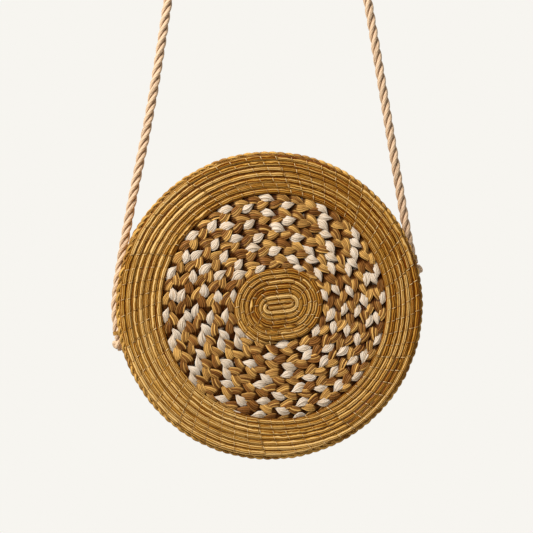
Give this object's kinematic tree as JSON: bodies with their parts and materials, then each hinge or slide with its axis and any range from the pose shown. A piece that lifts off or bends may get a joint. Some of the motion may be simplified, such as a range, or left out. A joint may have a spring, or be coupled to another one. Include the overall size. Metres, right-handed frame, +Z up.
{
  "type": "circle bag",
  "caption": "Round straw shoulder bag with coiled rims, plaited faces, a zip along the top of its side wall and a twisted rope strap it hangs from.",
  "frame": {"origin": "hanging point: the underside of the rope strap at the top of its arch, in the bag's middle plane", "axes": "+Z up, the front face looks along -Y, +X to the right seen from the front"},
  "size_m": [0.2112, 0.07, 0.3873],
  "materials": {
    "coil_straw": "dry straw bundles with pale stitches",
    "braid_straw": "plaited straw in brown, golden and cream strands",
    "plait_straw": "fine plaited straw",
    "lining_cloth": "plain cotton lining",
    "zip_tape": "herringbone zip tape",
    "zip_metal": "brushed brass",
    "tab_leather": "smooth tan leather",
    "rope": "three-strand twisted cotton rope"
  },
  "bodies": {
    "strap": {"strap_rope": "rope"},
    "bag": {"front_centre_coil": "coil_straw", "front_braid_ring": "braid_straw", "front_rim_coil": "coil_straw", "front_edge_plait": "plait_straw", "front_lining": "lining_cloth", "back_centre_coil": "coil_straw", "back_braid_ring": "braid_straw", "back_rim_coil": "coil_straw", "back_edge_plait": "plait_straw", "back_lining": "lining_cloth", "gusset_band": "plait_straw", "gusset_lining": "lining_cloth", "zip_strip_front": "plait_straw", "zip_strip_back": "plait_straw", "zip_end_tab_left": "tab_leather", "zip_end_tab_right": "tab_leather", "left_strap_end": "rope", "left_strap_loop": "plait_straw", "left_end_knot": "rope", "right_strap_end": "rope", "right_strap_loop": "plait_straw", "right_end_knot": "rope"},
    "zip_front": {"zip_tape_front": "zip_tape", "zip_teeth_front": "zip_metal", "zip_stop_front": "zip_metal"},
    "zip_back": {"zip_tape_back": "zip_tape", "zip_teeth_back": "zip_metal", "zip_stop_back": "zip_metal"},
    "slider": {"zip_slider": "zip_metal"},
    "pull": {"zip_pull": "zip_metal"}
  },
  "joints": [
    {"name": "bag_swing", "type": "hinge", "parent": "strap", "child": "bag", "pos_m": [0, 0, -0.21143], "axis": [1, 0, 0], "range_deg": [-90, 90]},
    {"name": "zip_slide", "type": "hinge", "parent": "bag", "child": "slider", "pos_m": [0, 0, -0.27846], "axis": [0, -1, 0], "range_deg": [0, 80]},
    {"name": "pull_flip", "type": "hinge", "parent": "slider", "child": "pull", "pos_m": [0.06457, 0, -0.20151], "axis": [0, -1, 0], "range_deg": [0, 150]},
    {"name": "zip_front_open", "type": "slide", "parent": "bag", "child": "zip_front", "axis": [0, -1, 0], "range_m": [0, 0.0123]},
    {"name": "zip_back_open", "type": "slide", "parent": "bag", "child": "zip_back", "axis": [0, 1, 0], "range_m": [0, 0.0123]}
  ],
  "couplings": [
    {"joint": "zip_front_open", "follows": "zip_slide", "m_per_rad": 0.0088},
    {"joint": "zip_back_open", "follows": "zip_slide", "m_per_rad": 0.0088}
  ]
}
